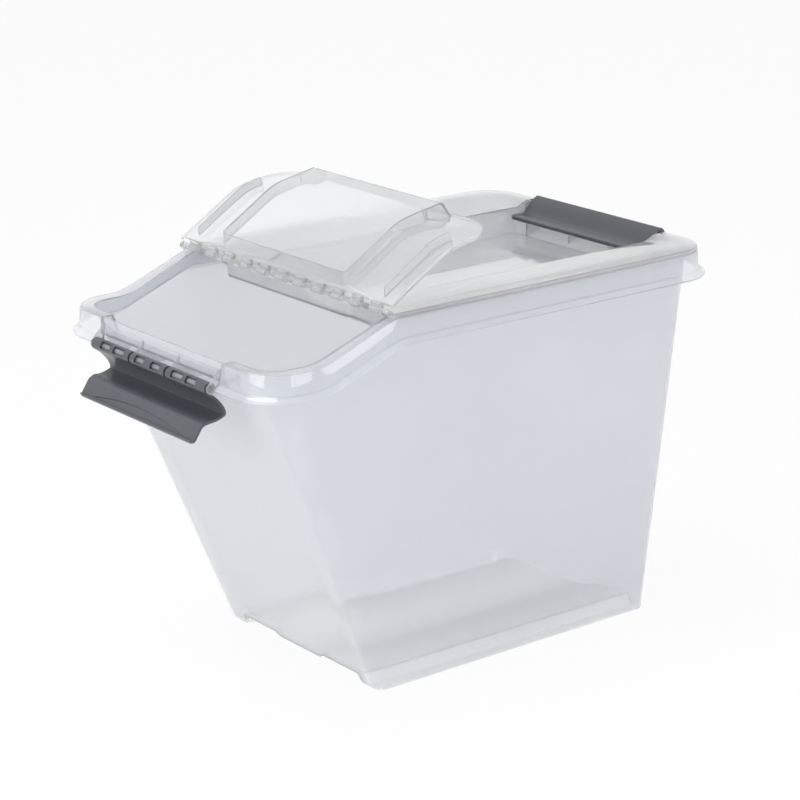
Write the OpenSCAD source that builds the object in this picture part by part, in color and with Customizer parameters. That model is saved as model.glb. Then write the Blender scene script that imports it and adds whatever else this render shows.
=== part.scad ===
// Rice storage bin with a lid in two leaves and two hinged clips.
// X runs across the bin, +Y points to its rear and +Z up.
// The origin lies under the middle of the whole object, on the surface it stands on.

/* [Tub] */
// Half the width of the base
base_half = 106.6; // [105:0.2:108]
// Half the length of the base
base_reach = 145.9; // [144.5:0.1:147.5]
// Half the width of the rim
rim_half = 143; // [142:0.2:144]
// From the middle of the base back to the rear edge of the rim
rim_rear = 181.4; // [180.4:0.2:182.4]
// From the middle of the base forward to the front edge of the rim
rim_front = 275; // [274:0.2:276]
// Height of the rim behind the hinge
rim_z = 325; // [320:0.5:330]
// Drop from the rear rim to the front rim
rim_drop = 27; // [25:0.5:29]
// Radius of the rim's corners
rim_r = 34.5; // [33:0.5:36]
// Radius of the corners at the base
foot_r = 9; // [8:0.5:10]
// Thickness of the tub's walls
wall = 1.8; // [1.6:0.1:2]
// Height of the skirt that hangs from the rim
skirt_h = 21.6; // [21:0.2:22.4]
// How far the skirt flares out beyond the rim
flare = 8; // [7.4:0.2:8.4]
// Where the rim starts to slope down, in front of the middle of the base
slope_y = 152.5; // [151.5:0.5:153.5]
// Where the slope of the rim ends, in front of the middle of the base
bend_y = 222.5; // [221.5:0.5:223.5]
// Height of the raised channels under the base
foot_h = 10; // [9:0.5:11]

/* [Lid] */
// Distance of the hinge line in front of the middle of the base
hinge_y = 159.5; // [158.5:0.5:160]
// Thickness of both lid leaves
lid_t = 1.6; // [1.4:0.1:1.7]
// How far the lid's top lies above the rim
lid_rise = 3; // [2.8:0.1:3.4]
// Depth of the ribs that hang inside the rim and locate the lid
locate_h = 8; // [6:0.5:9]
// Half the width of the sunken tray in the lid
tray_half = 84; // [83:0.2:85]
// Height of the rear tray's floor
tray_z = 300; // [298:0.5:304]
// Radius of the hinge pin
pin_r = 1.5; // [1.4:0.05:1.6]

/* [Clips] */
// Half the length of each clip
clip_half = 80.8; // [79.8:0.2:81]
// Radius of the rod that carries a clip
rod_r = 3; // [2.8:0.1:3.2]
// Outer radius of the clip's barrel
barrel_r = 5; // [4.8:0.1:5.2]
// How far the rods stand outside the rim
rod_out = 9.5; // [9.4:0.1:9.7]
// How far the rods lie below the top of the rim
rod_down = 19.3; // [19.1:0.1:19.6]
// Radius of the rounded corners of the clip's lip
lip_r = 5; // [4:0.5:6]
// Distance from the rod to the tip of the lip
lip_reach = 43; // [42.4:0.2:43.4]

/* [Hidden] */
eps = 0.01;
arc_n = 9;
land_t = 1.8;
wall_in = 9;
gap = 0.3;
bore_gap = 0.06;
slot_gap = 0.6;
bow = 0.5;
ease = 8;
front_z = rim_z - rim_drop;
floor_z = foot_h + 2;
lean_x = (rim_half - wall_in - base_half) / (rim_z - land_t);
lean_rear = (rim_rear - wall_in - base_reach) / (rim_z - land_t);
lean_front = (rim_front - wall_in - base_reach) / (front_z - land_t);
grow = (rim_r - wall_in - foot_r) / rim_z;
notch_half = tray_half + 1.6;
open_half = tray_half - 0.4;
rib_t = 2;
mid_rib_x = 25.5;
mid_rib_t = 1.4;
hinge_z = rim_z + 3.2;
knuckle_r = pin_r + 1.4;
knuckle_n = 23;
knuckle_w = 2 * rim_half / knuckle_n;
shelf_v = 5.7;
ledge_v = 8;
cap_v = rod_down + gap + lid_t;
clip_in_r = norm([rod_out + 2.9, cap_v]) + 1;
clip_t = 2;
rear_rod = [rim_rear + rod_out, rim_z - rod_down];
front_rod = [-rim_front - rod_out, front_z - rod_down];
seat_u = rod_out + 23.4;
flap_open = 169.1;
clip_open = 233.4;

// Section of a clip without its barrel: spine, ridge and lip, with the rod at the origin
clip_outline = let(r = clip_in_r, q = clip_in_r + clip_t, l = ledge_v + 1.6, u = lip_reach) concat(
  [for (p = [[0.132, 0], [0.137, 0.36], [0.17, 0.59], [0.23, 0.83], [0.325, 1.05]]) p * cap_v],
  [[0.44 * cap_v, q - 2.6]],
  [for (a = [66:-7:38]) [q * cos(a), q * sin(a)]],
  [[0.57 * u, l + 4.4], [0.61 * u, l + 2.8], [0.67 * u, l + clip_t], [0.95 * u, l + clip_t + 0.6],
    [0.985 * u, l + clip_t], [u, l + 0.8], [0.985 * u, l - 1], [0.945 * u, l - 1.2],
    [0.935 * u, l + 0.5], [0.665 * u, l], [0.615 * u, l + 0.4]],
  [for (a = [28:6:58]) [r * cos(a), r * sin(a)]],
  [[0.53 * cap_v, r - 2.6], [0.435 * cap_v, r - 4.2]],
  [for (p = [[0.325, 0.8], [0.265, 0.575], [0.23, 0.36], [0.226, 0]]) p * cap_v]);

// Half way between the rear rod's barrel and the lip of the open front clip
front_end = front_rod[0] + min([for (p = clip_outline)
  p[0] * cos(clip_open) - p[1] * sin(clip_open)]);
y_mid = (rear_rod[0] + barrel_r + front_end) / 2;

// Colours of the mouldings
clear = [0.86, 0.88, 0.9, 0.6];
smoke = [0.4, 0.4, 0.43];

// Everything is drawn from the middle of the base and then moved to the origin
module placed() {
  translate([0, -y_mid, 0])
    children();
}

// One rounded corner, anticlockwise from angle a
function corner(cx, cy, r, a) =
  [for (i = [0:arc_n]) [cx + r * cos(a + 90 * i / arc_n), cy + r * sin(a + 90 * i / arc_n)]];

function at_z(pts, z) = [for (p = pts) [p[0], p[1], z]];

// Rim height at a given Y, measured from the rear rim
function slope(y) = -rim_drop * min(1, max(0, (-y - slope_y) / (bend_y - slope_y)));
function fall(y) = (slope(y - ease) + 2 * slope(y) + slope(y + ease)) / 4;

// Side points of an outline on the eased ends of the slope, from rear to front
ease_y = [ease - slope_y, -slope_y, -slope_y - ease, ease - bend_y, -bend_y, -bend_y - ease];

// Outline of the tub with its own half width, reach, radius and height behind and in front
function tub_ring(hr, yr, rr, zr, hf, yf, rf, zf, k) =
  let(side = [for (y = ease_y) let(t = -fall(y) / rim_drop)
    [hr + (hf - hr) * t, y * k, zr + (zf - zr) * t]])
  concat(
    at_z(corner(hr - rr, yr - rr, rr, 0), zr),
    at_z(corner(-hr + rr, yr - rr, rr, 90), zr),
    [for (i = [0:5]) [-side[i][0] - bow * (1 - k) * (i + 1) * (6 - i) / 12, side[i][1], side[i][2]]],
    at_z(corner(-hf + rf, -yf + rf, rf, 180), zf),
    at_z(corner(hf - rf, -yf + rf, rf, 270), zf),
    [for (i = [5:-1:0]) [side[i][0] + bow * (1 - k) * (i + 1) * (6 - i) / 12, side[i][1], side[i][2]]]);

// Outline offset from the rim's edge by n and moved up by dz
function rim_ring(n, dz) = tub_ring(
  rim_half + n, rim_rear + n, rim_r + n, rim_z + dz,
  rim_half + n, rim_front + n, rim_r + n, front_z + dz, 1);

// Outline of the leaning wall at a height behind and in front, inset by t
function wall_ring(zr, zf, t, k) = tub_ring(
  base_half + lean_x * zr - t, base_reach + lean_rear * zr - t, foot_r + grow * zr - t, zr,
  base_half + lean_x * zf - t, base_reach + lean_front * zf - t, foot_r + grow * zf - t, zf, k);

// Outline of a lid leaf with its rear and front edges, corner radii and height
function leaf_ring(h, yf, yr, rf, rr, z) = concat(
  at_z(corner(h - rr, yr - rr, rr, 0), z),
  at_z(corner(-h + rr, yr - rr, rr, 90), z),
  at_z(corner(-h + rf, yf + rf, rf, 180), z),
  at_z(corner(h - rf, yf + rf, rf, 270), z));

// Outline of the flap, which follows the slope of the rim
function flap_ring(h, yf, yr, rf, rr, dz) = [for (p = concat(
  corner(h - rr, yr - rr, rr, 0),
  corner(-h + rr, yr - rr, rr, 90),
  [for (i = [3:5]) [-h, ease_y[i]]],
  corner(-h + rf, yf + rf, rf, 180),
  corner(h - rf, yf + rf, rf, 270),
  [for (i = [5:-1:3]) [h, ease_y[i]]])) [p[0], p[1], rim_z + fall(p[1]) + dz]];

function side_faces(m, n) = [for (j = [0:n - 2]) for (i = [0:m - 1]) for (s = [0, 1])
  s == 0 ? [j * m + i, (j + 1) * m + i, (j + 1) * m + (i + 1) % m]
         : [j * m + i, (j + 1) * m + (i + 1) % m, j * m + (i + 1) % m]];

function flat_points(rings) = [for (r = rings) for (p = r) p];

// Skin over a stack of outlines, closed by its first and last one
module skin(rings) {
  m = len(rings[0]);
  n = len(rings);
  polyhedron(
    points = flat_points(rings),
    faces = concat(
      [[for (i = [0:m - 1]) i]],
      side_faces(m, n),
      [[for (i = [m - 1:-1:0]) (n - 1) * m + i]]));
}

// The same, with first and last outlines that are bent across the flap's side points
module bent_skin(rings) {
  m = len(rings[0]);
  n = len(rings);
  left = 2 * (arc_n + 1);
  right = m - 1;
  flats = [
    concat([for (i = [0:left]) i], [right]),
    [left, left + 1, right - 1, right],
    [left + 1, left + 2, right - 2, right - 1],
    [for (i = [left + 2:right - 2]) i]];
  top = (n - 1) * m;
  polyhedron(
    points = flat_points(rings),
    faces = concat(
      flats,
      side_faces(m, n),
      [for (f = flats) [for (i = [len(f) - 1:-1:0]) top + f[i]]]));
}

// Places a profile drawn from the rear rod, x toward the bin and y up
module at_rear(x0, x1) {
  translate([x1, rear_rod[0], rear_rod[1]])
    rotate([90, 0, -90])
      linear_extrude(height = x1 - x0)
        children();
}

// The same profile at the front rod
module at_front(x0, x1) {
  translate([x0, front_rod[0], front_rod[1]])
    rotate([90, 0, 90])
      linear_extrude(height = x1 - x0)
        children();
}

// Both ends of the tub or of one leaf
module at_end(front, x0, x1) {
  if (front) {
    at_front(x0, x1) children();
  } else {
    at_rear(x0, x1) children();
  }
}

// Distance from the rod to the outside of the end wall at height v
function wall_u(front, v) = front
  ? rim_front + rod_out - base_reach - lean_front * (front_z - rod_down + v)
  : rim_rear + rod_out - base_reach - lean_rear * (rim_z - rod_down + v);

module tub_shell() {
  skin([
    wall_ring(0, 0, 2.4, 0.5),
    wall_ring(0.8, 0.8, 0.8, 0.5),
    wall_ring(2.6, 2.6, 0, 0.5),
    wall_ring(rim_z - land_t, front_z - land_t, 0, 1),
    rim_ring(-1, -land_t),
    rim_ring(0.8, 4 - skirt_h),
    rim_ring(flare - 3.2, 2 - skirt_h),
    rim_ring(flare - 1, -skirt_h),
    rim_ring(flare - 0.3, 0.2 - skirt_h),
    rim_ring(flare, 1.2 - skirt_h),
    rim_ring(flare - 0.9, 2.6 - skirt_h),
    rim_ring(flare - 3, 4.1 - skirt_h),
    rim_ring(2.6, 5.2 - skirt_h),
    rim_ring(1.4, -1.2),
    rim_ring(1.1, -0.4),
    rim_ring(0.3, 0),
    wall_ring(rim_z, front_z, wall, 1),
    wall_ring(2.3, 2.3, wall + 0.2, 0.5)]);
}

// Block under the raised floor; its top steps over the channels and dips along the middle
module floor_section() {
  polygon([
    [-base_half + 16, 1.2], [base_half - 16, 1.2], [base_half - 16, 1.7], [base_half - 17, 1.7],
    [base_half - 23.6, floor_z], [34, floor_z], [28, floor_z - 3.3], [-28, floor_z - 3.3],
    [-34, floor_z], [-base_half + 23.6, floor_z], [-base_half + 17, 1.7],
    [-base_half + 16, 1.7]]);
}

module raised_floor() {
  intersection() {
    skin([
      leaf_ring(base_half - 1, 1 - base_reach, base_reach - 1, foot_r - 1, foot_r - 1, 0),
      leaf_ring(base_half + 0.3, -base_reach - 5.2, base_reach + 0.2, foot_r, foot_r, 15)]);
    translate([0, base_reach + 20, 0])
      rotate([90, 0, 0])
        linear_extrude(height = 2 * base_reach + 40)
          floor_section();
  }
}

// Space under the raised floor
module channel_cut() {
  translate([0, base_reach + 20, 0])
    rotate([90, 0, 0])
      linear_extrude(height = 2 * base_reach + 40)
        polygon([
          [-base_half + 22.8, -1], [-base_half + 25, foot_h], [-34.6, foot_h],
          [-28.6, foot_h - 3.3], [28.6, foot_h - 3.3], [34.6, foot_h],
          [base_half - 25, foot_h], [base_half - 22.8, -1]]);
}

// Room for a clip: the land and the skirt are cut away
module clip_room(front) {
  at_end(front, -notch_half, notch_half)
    polygon([[-14, shelf_v], [wall_u(front, shelf_v) + 5, shelf_v],
      [wall_u(front, shelf_v) + 5, rod_down + 4], [-14, rod_down + 4]]);
  at_end(front, -open_half, open_half)
    polygon([[-14, -8], [rod_out + 3.6, -8], [rod_out + 3.6, shelf_v + eps], [-14, shelf_v + eps]]);
}

// Upright web, shelf and end walls that close the room toward the inside
module clip_pocket(front) {
  u0 = rod_out + 0.1;
  w = wall_u(front, shelf_v) + 1;
  at_end(front, -notch_half - rib_t, notch_half + rib_t)
    polygon([[u0, shelf_v - 1.8], [w, shelf_v - 1.8], [w, shelf_v], [u0 + 1.7, shelf_v],
      [u0 + 1.7, rod_down - 0.5], [u0 + 1.3, rod_down - 0.15], [u0 + 0.4, rod_down - 0.15],
      [u0, rod_down - 0.5]]);
  for (s = [-1, 1]) {
    x = s * (notch_half + rib_t / 2);
    at_end(front, x - rib_t / 2, x + rib_t / 2)
      polygon([[u0 + 1, shelf_v - 1.8], [wall_u(front, shelf_v - 1.8) + 1, shelf_v - 1.8],
        [wall_u(front, rod_down) + 1, rod_down - eps], [u0 + 1, rod_down - eps]]);
  }
}

// Rod with the ribs that carry it
module rod_mount(front) {
  u0 = rod_out + 0.1;
  at_end(front, -open_half, open_half)
    circle(r = rod_r, $fn = 48);
  for (s = [-1, 1]) {
    x = s * (open_half - rib_t / 2);
    at_end(front, x - rib_t / 2, x + rib_t / 2 + eps)
      polygon([[-rod_r - 0.6, -2], [-rod_r - 0.6, 2], [-1, 4.2], [u0 - 2, 13], [u0 + 1, 15],
        [u0 + 1, shelf_v - 1], [wall_u(front, shelf_v - 1) + 1, shelf_v - 1],
        [wall_u(front, -12) + 1, -12], [8, -7.6], [1, -4.2], [-1.6, -4]]);
    at_end(front, s * mid_rib_x - mid_rib_t / 2, s * mid_rib_x + mid_rib_t / 2)
      polygon([[-rod_r - 0.4, -1.6], [-rod_r - 0.4, 1.6], [-1, 3.6], [3.5, 5.5], [u0 + 1, 14],
        [u0 + 1, shelf_v - 1], [wall_u(front, shelf_v - 1) + 1, shelf_v - 1],
        [wall_u(front, -8) + 1, -8], [u0, -4], [2.6, -2.4], [-1, -3.6]]);
  }
}

module tub() {
  color(clear) placed() {
    difference() {
      union() {
        tub_shell();
        raised_floor();
      }
      channel_cut();
      clip_room(true);
      clip_room(false);
    }
    clip_pocket(true);
    clip_pocket(false);
    rod_mount(true);
    rod_mount(false);
  }
}

// Seat of a clip on a leaf: cap over the rim, drafted web and ledge
module seat_section(u1) {
  u0 = rod_out + 0.4;
  top = cap_v;
  low = rod_down + gap;
  polygon([[u0, low], [u0, top - 0.6], [u0 + 0.6, top], [u0 + 2.2, top], [u0 + 3.1, top - 0.5],
    [u0 + 8.5, ledge_v + 1.2], [u0 + 10.2, ledge_v], [u1, ledge_v], [u1, ledge_v - lid_t],
    [u0 + 9.4, ledge_v - lid_t], [u0 + 7, ledge_v + 0.2], [u0 + 1.9, low]]);
}

// Cheek that closes one end of the seat
module seat_cheek(u1, drop) {
  u0 = rod_out + 0.4;
  low = rod_down + gap;
  polygon([[u0 + 1.9, low], [u0 + 7, ledge_v + 0.2], [u0 + 9.4, ledge_v - lid_t],
    [u1, ledge_v - lid_t], [u1, cap_v - drop], [u1 - 12, low + lid_rise - 0.9], [u0 + 1, low + lid_rise - 0.9],
    [u0 + 1, low]]);
}

// Knuckle barrels with their feet, every second one from index k0
module knuckles(k0, foot) {
  for (k = [k0:2:knuckle_n - 1]) {
    translate([-rim_half + k * knuckle_w + gap, -hinge_y, hinge_z])
      rotate([90, 0, 90])
        linear_extrude(height = knuckle_w - 2 * gap) {
          circle(r = knuckle_r, $fn = 12);
          polygon(foot);
        }
  }
}

// Room around the other leaf's knuckles
module knuckle_room(k0, y0, y1) {
  for (k = [k0:2:knuckle_n - 1]) {
    translate([-rim_half + k * knuckle_w - gap / 3, y0, hinge_z - 18])
      cube([knuckle_w + 2 * gap / 3, y1 - y0, 24]);
  }
}

module rear_lid_shell() {
  z0 = rim_z + lid_rise - lid_t;
  z1 = rim_z + lid_rise;
  y0 = -hinge_y + 0.4;
  y1 = rim_rear;
  yt = rim_rear - 23.4;
  ramp = tray_z + 14;
  skin([
    leaf_ring(tray_half, -hinge_y + 32, yt - 0.4, 8, 3, tray_z - lid_t),
    leaf_ring(tray_half + 0.9, y0 + 3.2, yt + 0.9, 6, 3, ramp - lid_t),
    leaf_ring(tray_half + 1.7, y0 + 3.2, yt + 1.5, 5, 3.5, z1 - 6.4),
    leaf_ring(rim_half - 20, y0 + 3.1, y1 - 11, 3, 26, z0),
    leaf_ring(rim_half - 0.6, y0 + 1.5, y1 - 0.6, 1, rim_r - 0.6, z0),
    leaf_ring(rim_half - 0.4, y0 + 1.5, y1 - 0.4, 1, rim_r - 0.4, rim_z + gap),
    leaf_ring(rim_half + 1.1, y0, y1 + 1.1, 1, rim_r + 1.1, rim_z + gap),
    leaf_ring(rim_half + 0.7, y0, y1 + 0.7, 1, rim_r + 0.7, z1 - 0.7),
    leaf_ring(rim_half + 0.3, y0, y1 + 0.3, 1, rim_r + 0.3, z1 - 0.2),
    leaf_ring(rim_half - 0.5, y0, y1 - 0.5, 1, rim_r - 0.5, z1),
    leaf_ring(rim_half - 21, y0 + 3.2, y1 - 12, 3, 25, z1),
    leaf_ring(tray_half + 0.4, y0 + 4.6, yt + 0.3, 4, 3, z1 - 4.7),
    leaf_ring(tray_half - 0.6, y0 + 4.7, yt - 0.6, 4, 2.5, ramp),
    leaf_ring(tray_half - 1.5, -hinge_y + 33, yt - 1.9, 7, 2.5, tray_z)]);
}

// Distance of a locating rib from the middle, clear of the wall down to its lower edge
function rib_x(z) = base_half + lean_x * (z - locate_h) - wall - rib_t;

// A rib that runs along one side inside the rim, from its side view
module side_rib(s, x, t) {
  translate([s * x - t / 2, 0, 0])
    rotate([90, 0, 90])
      linear_extrude(height = t)
        children();
}

module rear_lid() {
  u1 = seat_u + 1.6;
  top = rim_z + lid_rise - 0.5;
  color(clear) placed() {
    difference() {
      rear_lid_shell();
      at_rear(-tray_half + 0.4, tray_half - 0.4)
        polygon([[4, -9], [4, 26], [u1 - 0.6, 26], [u1 - 0.6, -9]]);
      knuckle_room(1, -hinge_y - 4, -hinge_y + knuckle_r + 0.5);
    }
    for (s = [-1, 1]) {
      side_rib(s, rib_x(rim_z), rib_t - 0.6)
        polygon([[-hinge_y + 8.5, top - 0.4], [-hinge_y + 9.5, top - locate_h],
          [rim_rear - rim_r - 2, top - locate_h], [rim_rear - rim_r, top - 0.4]]);
      side_rib(s, rim_half + 0.1, 1)
        polygon([[-hinge_y + 0.7, rim_z + gap + fall(-hinge_y + 0.7)],
          [-slope_y + 0.6, rim_z + gap + 0.2], [-slope_y + 0.6, top - 0.4],
          [-hinge_y + 0.7, top - 0.4]]);
    }
    at_rear(-tray_half, tray_half)
      seat_section(u1);
    at_rear(-tray_half + 0.2, tray_half - 0.2)
      polygon([[u1 - 1.6, tray_z - lid_t - rear_rod[1]], [u1, tray_z - lid_t - rear_rod[1]],
        [u1, ledge_v - 0.2], [u1 - 1.6, ledge_v - 0.2]]);
    for (s = [-1, 1]) {
      at_rear(s * (tray_half + 0.2) - 0.8, s * (tray_half + 0.2) + 0.8)
        seat_cheek(u1, 5.6);
    }
    knuckles(0, [[0, -2.6], [2, -2.7], [4.1, -1.7], [4.1, -0.4], [2.4, 0.1], [0, 0.4]]);
    translate([-rim_half + gap, -hinge_y, hinge_z])
      rotate([0, 90, 0])
        cylinder(r = pin_r, h = 2 * (rim_half - gap), $fn = 36);
  }
}

module front_flap_shell() {
  z0 = lid_rise - lid_t;
  z1 = lid_rise;
  yh = -hinge_y - 0.4;
  y1 = -rim_front;
  yt = -rim_front + 23.4;
  ledge = ledge_v - rod_down;
  bent_skin([
    flap_ring(tray_half + 0.6, yt - 0.6, yh - 4, 8, 4, ledge - lid_t),
    flap_ring(tray_half + 1.6, yt - 1.6, yh - 3.4, 9, 4, z1 - 6.4),
    flap_ring(rim_half - 20, y1 + 11, yh - 3.3, 26, 3, z0),
    flap_ring(rim_half - 0.6, y1 + 0.6, yh - 1.5, rim_r - 0.6, 1, z0),
    flap_ring(rim_half - 0.4, y1 + 0.4, yh - 1.5, rim_r - 0.4, 1, gap),
    flap_ring(rim_half + 1.1, y1 - 1.1, yh, rim_r + 1.1, 1, gap),
    flap_ring(rim_half + 0.7, y1 - 0.7, yh, rim_r + 0.7, 1, z1 - 0.7),
    flap_ring(rim_half + 0.3, y1 - 0.3, yh, rim_r + 0.3, 1, z1 - 0.2),
    flap_ring(rim_half - 0.5, y1 + 0.5, yh, rim_r - 0.5, 1, z1),
    flap_ring(rim_half - 21, y1 + 12, yh - 3.4, 25, 3, z1),
    flap_ring(tray_half + 0.3, yt - 0.3, yh - 4.8, 8, 3, z1 - 4.7),
    flap_ring(tray_half - 0.8, yt + 0.8, yh - 5.4, 7, 3, ledge)]);
}

// Side view of a rib under the flap, which follows the slope of the rim
module flap_rib_view(y0, y1) {
  top = rim_z + lid_rise - 0.9;
  run = concat([-y0], [for (i = [3:5]) ease_y[i]], [-y1]);
  polygon(concat(
    [for (i = [0:4]) [run[i], top + fall(run[i])]],
    [for (i = [4:-1:0]) [run[i] + (i == 4 ? 2 : i == 0 ? -1 : 0), top + fall(run[i]) - locate_h]]));
}

// The flap as it lies when closed
module closed_flap() {
  u1 = seat_u + 3;
  foot_v = rim_z + lid_rise + fall(-hinge_y - 4.3) - hinge_z;
  difference() {
    front_flap_shell();
    at_front(-tray_half + 0.4, tray_half - 0.4)
      polygon([[4, -9], [4, 26], [u1 - 0.6, 26], [u1 - 0.6, -9]]);
    knuckle_room(0, -hinge_y - knuckle_r - 0.5, -hinge_y + 4);
  }
  for (s = [-1, 1]) {
    side_rib(s, rib_x(front_z), rib_t - 0.6)
      flap_rib_view(hinge_y + 8.5, rim_front - rim_r - 1);
  }
  at_front(-tray_half, tray_half)
    seat_section(u1);
  for (s = [-1, 1]) {
    at_front(s * (tray_half + 0.2) - 0.8, s * (tray_half + 0.2) + 0.8)
      seat_cheek(u1 - 1.5, 6);
  }
  difference() {
    knuckles(1, [[0, -2.6], [-1.6, -2.8], [-4.3, foot_v - 1], [-4.6, foot_v - 0.3],
      [-3.4, foot_v + 3], [-2.4, 0], [0, 0.4]]);
    translate([-rim_half, -hinge_y, hinge_z])
      rotate([0, 90, 0])
        cylinder(r = pin_r + bore_gap, h = 2 * rim_half, $fn = 36);
  }
}

module front_flap() {
  color(clear) placed()
    translate([0, -hinge_y, hinge_z])
      rotate([-flap_open, 0, 0])
        translate([0, hinge_y, -hinge_z])
          closed_flap();
}

// A clip in its closed position, drawn from its rod with x across, y toward the bin and z up
module clip_body() {
  windows = [[0.06, 0.22], [0.42, 0.61], [0.67, 0.84]] * clip_half;
  difference() {
    union() {
      rotate([90, 0, 90])
        translate([0, 0, -clip_half])
          linear_extrude(height = 2 * clip_half)
            polygon(clip_outline);
      translate([-clip_half, 0, 0])
        rotate([0, 90, 0])
          cylinder(r = barrel_r, h = 2 * clip_half, $fn = 48);
    }
    translate([-clip_half - 1, 0, 0])
      rotate([0, 90, 0])
        cylinder(r = rod_r + bore_gap, h = 2 * clip_half + 2, $fn = 48);
    for (s = [-1, 1]) {
      translate([s * mid_rib_x - mid_rib_t / 2 - slot_gap, -barrel_r - 2, -barrel_r - 2])
        cube([mid_rib_t + 2 * slot_gap, 14, barrel_r + 14]);
      for (w = windows) {
        translate([s * (w[0] + w[1]) / 2 - (w[1] - w[0]) / 2, -2.6, -barrel_r - 2])
          cube([w[1] - w[0], 6, barrel_r - 0.2]);
      }
      translate([s * (clip_half - lip_r), lip_reach + 0.1 - lip_r, 0])
        difference() {
          translate([s > 0 ? 0 : -lip_r - 1, 0, 0])
            cube([lip_r + 1, lip_r + 1, 30]);
          cylinder(r = lip_r, h = 30, $fn = 48);
        }
    }
    thumb_recess();
  }
}

// Shallow recess under the lip, bounded by an arc, where a thumb lifts it
module thumb_recess() {
  half = 0.79 * clip_half;
  deep = 6.4;
  r = (half * half + deep * deep) / (2 * deep);
  edge = 0.915 * lip_reach;
  intersection() {
    translate([0, edge - deep + r, ledge_v - 1])
      cylinder(r = r, h = 3.8, $fn = 120);
    translate([-half, edge - deep - 1, ledge_v - 1])
      cube([2 * half, deep + 1, 3.8]);
  }
}

module rear_clip() {
  color(smoke) placed()
    translate([0, rear_rod[0], rear_rod[1]])
      rotate([0, 0, 180])
        clip_body();
}

module front_clip() {
  color(smoke) placed()
    translate([0, front_rod[0], front_rod[1]])
      rotate([clip_open, 0, 0])
        clip_body();
}

tub();
rear_lid();
front_flap();
front_clip();
rear_clip();
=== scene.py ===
# Rice bin with a flip lid: three clear mouldings and two smoke-grey clips in a white studio.
# Lengths are in metres, angles in degrees and lamp powers in watts, unless a name says otherwise.
import math

import bmesh
import bpy
from mathutils import Matrix, Vector


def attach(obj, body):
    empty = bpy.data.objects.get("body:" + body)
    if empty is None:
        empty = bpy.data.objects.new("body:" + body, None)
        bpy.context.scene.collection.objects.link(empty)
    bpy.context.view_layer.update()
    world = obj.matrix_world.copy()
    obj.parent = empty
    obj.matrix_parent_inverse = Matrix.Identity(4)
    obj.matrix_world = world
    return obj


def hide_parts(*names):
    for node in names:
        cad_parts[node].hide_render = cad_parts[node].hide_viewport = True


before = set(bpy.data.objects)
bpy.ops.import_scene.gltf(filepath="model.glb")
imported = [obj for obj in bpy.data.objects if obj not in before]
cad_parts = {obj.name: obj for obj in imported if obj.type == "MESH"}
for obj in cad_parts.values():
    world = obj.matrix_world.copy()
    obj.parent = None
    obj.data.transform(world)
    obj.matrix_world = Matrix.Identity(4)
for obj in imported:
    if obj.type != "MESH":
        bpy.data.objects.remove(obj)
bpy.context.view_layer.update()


# ---------------------------------------------------------------- camera
CAMERA_PLACE = (1.6691, -1.2787, 0.8628)
CAMERA_AZIMUTH = 52.26
CAMERA_ELEVATION = 17.39
CAMERA_ROLL = -0.5
LENS_MM = 118.4
SENSOR_MM = 36.0
NEAREST, FARTHEST = 0.05, 30.0


def add_camera():
    """Camera on the bin's front right, looking down on the open flap."""
    azimuth = math.radians(CAMERA_AZIMUTH)
    elevation = math.radians(CAMERA_ELEVATION)
    roll = math.radians(CAMERA_ROLL)
    back = Vector((
        math.sin(azimuth) * math.cos(elevation),
        -math.cos(azimuth) * math.cos(elevation),
        math.sin(elevation),
    ))
    right = (-back).cross(Vector((0, 0, 1))).normalized()
    up = right.cross(-back)
    right, up = (
        right * math.cos(roll) + up * math.sin(roll),
        up * math.cos(roll) - right * math.sin(roll),
    )
    data = bpy.data.cameras.new("camera")
    data.sensor_width = SENSOR_MM
    data.lens = LENS_MM
    data.clip_start, data.clip_end = NEAREST, FARTHEST
    cam = bpy.data.objects.new("camera", data)
    bpy.context.scene.collection.objects.link(cam)
    turn = Matrix((right, up, back)).transposed().to_4x4()
    cam.matrix_world = Matrix.Translation(CAMERA_PLACE) @ turn
    bpy.context.scene.camera = cam


add_camera()


# ---------------------------------------------------------------- materials
# A moulded skin is a slow ripple with a fine grain on it, both from noise.
RIPPLE_DETAIL = 2.0
GRAIN_DETAIL = 3.0

# Ripple scale, grain scale and the grain's share of the height.
CLEAR_SKIN = (14.0, 700.0, 0.05)
SMOKE_SKIN = (60.0, 1500.0, 0.3)

# How strongly the skin's height turns the surface, and how deep it counts.
CLEAR_LIFT = (0.05, 0.0008)
SMOKE_LIFT = (0.12, 0.0003)

# Darkest and lightest tone of each plastic.
TUB_TONES = ((0.84, 0.856, 0.888), (0.87, 0.882, 0.912))
LID_TONES = ((0.85, 0.855, 0.87), (0.885, 0.89, 0.90))
SMOKE_TONES = ((0.066, 0.069, 0.082), (0.080, 0.083, 0.097))

# Clear plastic. Its index is set under the 1.49 or so of the real kind, to keep thin edges light.
CLEAR_INDEX = 1.3
CLEAR_ROUGHNESS = 0.08
CLEAR_COAT = 0.6
COAT_ROUGHNESS = 0.05
TUB_CLEARNESS = 0.77
LID_CLEARNESS = 0.78

SMOKE_INDEX = 1.5
SMOKE_ROUGHNESS = 0.32

# The tub's floor inside its walls: middle and half length along Y, half width along X, top.
FLOOR_MIDDLE_Y = 0.0535
FLOOR_REACH_Y = 0.1436
FLOOR_HALF_X = 0.1044
FLOOR_TOP_Z = 0.0125
FROST_ROUGHNESS = 0.34
# Whiter colour on the tub's floor: painted light, making the floor lighter than the walls as if
# lit from above through the open mouth.
PAINTED_FLOOR_LIGHT = (0.995, 0.995, 0.998)


def combine(tree, operation, first, second):
    """Result of a sum on a socket and either another socket or a plain number."""
    node = tree.nodes.new("ShaderNodeMath")
    node.operation = operation
    tree.links.new(first, node.inputs[0])
    if isinstance(second, bpy.types.NodeSocket):
        tree.links.new(second, node.inputs[1])
    else:
        node.inputs[1].default_value = second
    return node.outputs["Value"]


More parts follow.
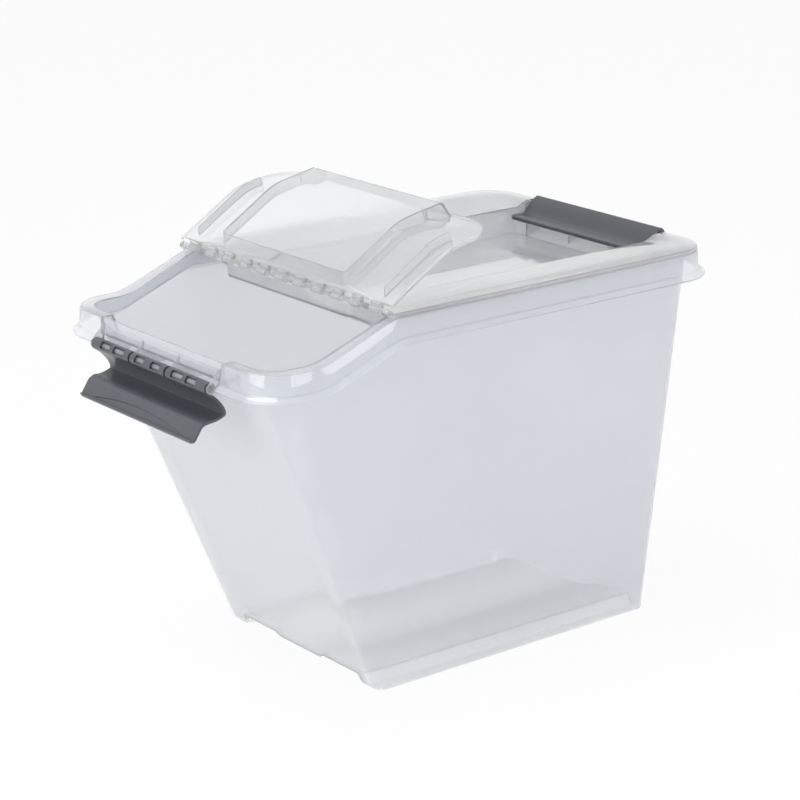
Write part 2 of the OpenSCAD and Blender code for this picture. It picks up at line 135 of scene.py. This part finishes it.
def new_material(name):
    mat = bpy.data.materials.new(name)
    mat.use_nodes = True
    nodes = mat.node_tree.nodes
    nodes.clear()
    out = nodes.new("ShaderNodeOutputMaterial")
    bsdf = nodes.new("ShaderNodeBsdfPrincipled")
    mat.node_tree.links.new(bsdf.outputs["BSDF"], out.inputs["Surface"])
    return mat, mat.node_tree, bsdf


def mould_group():
    """Slow ripple and fine grain of a moulded skin, as a height and a tone mask."""
    group = bpy.data.node_groups.new("mould_skin", "ShaderNodeTree")
    for name in ("Ripple Scale", "Grain Scale", "Grain Share"):
        group.interface.new_socket(name, in_out="INPUT", socket_type="NodeSocketFloat")
    for name in ("Height", "Tone"):
        group.interface.new_socket(name, in_out="OUTPUT", socket_type="NodeSocketFloat")
    nodes, links = group.nodes, group.links
    inp = nodes.new("NodeGroupInput")
    out = nodes.new("NodeGroupOutput")
    place = nodes.new("ShaderNodeTexCoord")
    noise = {}
    for name, detail in (("Ripple", RIPPLE_DETAIL), ("Grain", GRAIN_DETAIL)):
        node = nodes.new("ShaderNodeTexNoise")
        node.inputs["Detail"].default_value = detail
        links.new(place.outputs["Object"], node.inputs["Vector"])
        links.new(inp.outputs[name + " Scale"], node.inputs["Scale"])
        noise[name] = node.outputs["Fac"]
    part = combine(group, "MULTIPLY", noise["Grain"], inp.outputs["Grain Share"])
    height = combine(group, "ADD", noise["Ripple"], part)
    links.new(height, out.inputs["Height"])
    links.new(noise["Ripple"], out.inputs["Tone"])
    return group


MOULD = mould_group()


def mould_skin(tree, bsdf, skin, lift, tones):
    """Give a material the moulded skin: its tone as colour and its height as bumps."""
    node = tree.nodes.new("ShaderNodeGroup")
    node.node_tree = MOULD
    for name, value in zip(("Ripple Scale", "Grain Scale", "Grain Share"), skin):
        node.inputs[name].default_value = value
    ramp = tree.nodes.new("ShaderNodeMix")
    ramp.data_type = "RGBA"
    ramp.inputs["A"].default_value = (*tones[0], 1.0)
    ramp.inputs["B"].default_value = (*tones[1], 1.0)
    tree.links.new(node.outputs["Tone"], ramp.inputs["Factor"])
    tree.links.new(ramp.outputs["Result"], bsdf.inputs["Base Color"])
    bump = tree.nodes.new("ShaderNodeBump")
    bump.inputs["Strength"].default_value = lift[0]
    bump.inputs["Distance"].default_value = lift[1]
    tree.links.new(node.outputs["Height"], bump.inputs["Height"])
    tree.links.new(bump.outputs["Normal"], bsdf.inputs["Normal"])


def clear_plastic(name, tones, clearness):
    mat, tree, bsdf = new_material(name)
    mould_skin(tree, bsdf, CLEAR_SKIN, CLEAR_LIFT, tones)
    bsdf.inputs["Roughness"].default_value = CLEAR_ROUGHNESS
    bsdf.inputs["IOR"].default_value = CLEAR_INDEX
    bsdf.inputs["Transmission Weight"].default_value = clearness
    bsdf.inputs["Coat Weight"].default_value = CLEAR_COAT
    bsdf.inputs["Coat Roughness"].default_value = COAT_ROUGHNESS
    return mat, tree, bsdf


def floor_mask(tree):
    """One on the tub's floor inside the walls, and nought elsewhere."""
    place = tree.nodes.new("ShaderNodeTexCoord")
    centre = tree.nodes.new("ShaderNodeMapping")
    centre.inputs["Location"].default_value = (0.0, -FLOOR_MIDDLE_Y, 0.0)
    tree.links.new(place.outputs["Object"], centre.inputs["Vector"])
    away = tree.nodes.new("ShaderNodeVectorMath")
    away.operation = "ABSOLUTE"
    tree.links.new(centre.outputs["Vector"], away.inputs[0])
    split = tree.nodes.new("ShaderNodeSeparateXYZ")
    tree.links.new(away.outputs["Vector"], split.inputs["Vector"])
    mask = combine(tree, "LESS_THAN", split.outputs["Z"], FLOOR_TOP_Z)
    for axis, limit in (("X", FLOOR_HALF_X), ("Y", FLOOR_REACH_Y)):
        within = combine(tree, "LESS_THAN", split.outputs[axis], limit)
        mask = combine(tree, "MULTIPLY", mask, within)
    return mask


def tub_plastic():
    """Clear plastic whose floor has a fine, rougher frosting that hides the steps under it, and a
    whiter colour there that is painted light, standing in for the light falling on the floor from
    above through the mouth.
    """
    mat, tree, bsdf = clear_plastic("tub_plastic", TUB_TONES, TUB_CLEARNESS)
    mask = floor_mask(tree)
    rough = tree.nodes.new("ShaderNodeMapRange")
    rough.inputs["To Min"].default_value = CLEAR_ROUGHNESS
    rough.inputs["To Max"].default_value = FROST_ROUGHNESS
    tree.links.new(mask, rough.inputs["Value"])
    tree.links.new(rough.outputs["Result"], bsdf.inputs["Roughness"])
    # Painted light: the floor's colour is blended towards white, in place of the light that falls
    # on it through the mouth.
    painted_light = tree.nodes.new("ShaderNodeMix")
    painted_light.data_type = "RGBA"
    tree.links.new(mask, painted_light.inputs["Factor"])
    tree.links.new(bsdf.inputs["Base Color"].links[0].from_socket, painted_light.inputs["A"])
    painted_light.inputs["B"].default_value = (*PAINTED_FLOOR_LIGHT, 1.0)
    tree.links.new(painted_light.outputs["Result"], bsdf.inputs["Base Color"])
    return mat


def lid_plastic():
    return clear_plastic("lid_plastic", LID_TONES, LID_CLEARNESS)[0]


def smoke_plastic():
    mat, tree, bsdf = new_material("smoke_plastic")
    mould_skin(tree, bsdf, SMOKE_SKIN, SMOKE_LIFT, SMOKE_TONES)
    bsdf.inputs["Roughness"].default_value = SMOKE_ROUGHNESS
    bsdf.inputs["IOR"].default_value = SMOKE_INDEX
    return mat


TUB = tub_plastic()
LID = lid_plastic()
CLIP = smoke_plastic()


# ---------------------------------------------------------------- mouldings
# Corners closer than this are one corner, and an edge that turns more than the crease is crisp.
WELD = 0.00001
CREASE = math.radians(32)


def moulding(name, node, body, material):
    """Joined copy of a CAD node with smooth faces and crisp edges."""
    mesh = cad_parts[node].data.copy()
    mesh.name = name
    work = bmesh.new()
    work.from_mesh(mesh)
    bmesh.ops.remove_doubles(work, verts=work.verts, dist=WELD)
    for face in work.faces:
        face.smooth = True
    for edge in work.edges:
        edge.smooth = len(edge.link_faces) == 2 and edge.calc_face_angle(0.0) < CREASE
    work.to_mesh(mesh)
    work.free()
    if "custom_normal" in mesh.attributes:
        mesh.attributes.remove(mesh.attributes["custom_normal"])
    mesh.materials.clear()
    mesh.materials.append(material)
    piece = bpy.data.objects.new(name, mesh)
    bpy.context.scene.collection.objects.link(piece)
    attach(piece, body)
    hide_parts(node)


moulding("clear_tub", "tub", "bin", TUB)
moulding("clear_rear_lid", "rear_lid", "bin", LID)
moulding("clear_front_flap", "front_flap", "flap", LID)
moulding("smoke_front_clip", "front_clip", "front_latch", CLIP)
moulding("smoke_rear_clip", "rear_clip", "rear_latch", CLIP)


# ---------------------------------------------------------------- studio
FLOOR_HALF_SIZE = 6.0
FLOOR_PAINT = (0.92, 0.92, 0.92)
FLOOR_GLOW_SHARE = 0.94
FILL_COLOUR = (0.97, 0.98, 1.0)
FILL_STRENGTH = 0.5
WHITE = (1.0, 1.0, 1.0)

# Name, place, the point it faces, width and height, and power of each lamp.
SOFTBOXES = (
    ("front_softbox", (0.2, -2.2, 0.75), (0, -0.2, 0.2), (1.5, 1.1), 22.0),
    ("side_softbox", (2.2, 0.3, 0.75), (0, 0, 0.2), (1.5, 1.1), 19.0),
    ("top_softbox", (-0.3, -0.6, 2.1), (0, 0, 0.2), (1.0, 1.0), 17.0),
)


def backdrop_rays(tree):
    """One for rays from the camera, a mirror reflection or through clear plastic."""
    path = tree.nodes.new("ShaderNodeLightPath")
    seen = path.outputs["Is Camera Ray"]
    for kind in ("Is Glossy Ray", "Is Transmission Ray"):
        seen = combine(tree, "MAXIMUM", seen, path.outputs[kind])
    return seen


def blend(tree, share, first, second, out):
    """Send a blend of two shaders to the output, with the second one's share."""
    mix = tree.nodes.new("ShaderNodeMixShader")
    tree.links.new(share, mix.inputs["Fac"])
    tree.links.new(first, mix.inputs[1])
    tree.links.new(second, mix.inputs[2])
    tree.links.new(mix.outputs["Shader"], out.inputs["Surface"])


def floor_paint():
    """White paint that also glows where the backdrop is seen, so that it has no edge."""
    mat = bpy.data.materials.new("studio_floor")
    mat.use_nodes = True
    tree = mat.node_tree
    tree.nodes.clear()
    out = tree.nodes.new("ShaderNodeOutputMaterial")
    paint = tree.nodes.new("ShaderNodeBsdfDiffuse")
    paint.inputs["Color"].default_value = (*FLOOR_PAINT, 1.0)
    glow = tree.nodes.new("ShaderNodeEmission")
    glow.inputs["Color"].default_value = (*WHITE, 1.0)
    share = combine(tree, "MULTIPLY", backdrop_rays(tree), FLOOR_GLOW_SHARE)
    blend(tree, share, paint.outputs["BSDF"], glow.outputs["Emission"], out)
    return mat


def add_floor():
    work = bmesh.new()
    bmesh.ops.create_grid(work, x_segments=1, y_segments=1, size=FLOOR_HALF_SIZE)
    mesh = bpy.data.meshes.new("studio_floor")
    work.to_mesh(mesh)
    work.free()
    mesh.materials.append(floor_paint())
    floor = bpy.data.objects.new("studio_floor", mesh)
    bpy.context.scene.collection.objects.link(floor)


def background(tree, colour, strength):
    node = tree.nodes.new("ShaderNodeBackground")
    node.inputs["Color"].default_value = (*colour, 1.0)
    node.inputs["Strength"].default_value = strength
    return node.outputs["Background"]


def add_world():
    """Soft fill light, with plain white where the backdrop is seen."""
    world = bpy.data.worlds.new("studio")
    bpy.context.scene.world = world
    world.use_nodes = True
    tree = world.node_tree
    tree.nodes.clear()
    out = tree.nodes.new("ShaderNodeOutputWorld")
    fill = background(tree, FILL_COLOUR, FILL_STRENGTH)
    white = background(tree, WHITE, 1.0)
    blend(tree, backdrop_rays(tree), fill, white, out)


def add_softbox(name, place, aim, size, watts):
    data = bpy.data.lights.new(name, "AREA")
    data.shape = "RECTANGLE"
    data.size, data.size_y = size
    data.energy = watts
    lamp = bpy.data.objects.new(name, data)
    bpy.context.scene.collection.objects.link(lamp)
    lamp.location = place
    lamp.rotation_mode = "QUATERNION"
    lamp.rotation_quaternion = (Vector(aim) - Vector(place)).to_track_quat("-Z", "Y")


add_floor()
add_world()
for softbox in SOFTBOXES:
    add_softbox(*softbox)

scene = bpy.context.scene
scene.view_settings.view_transform = "Standard"
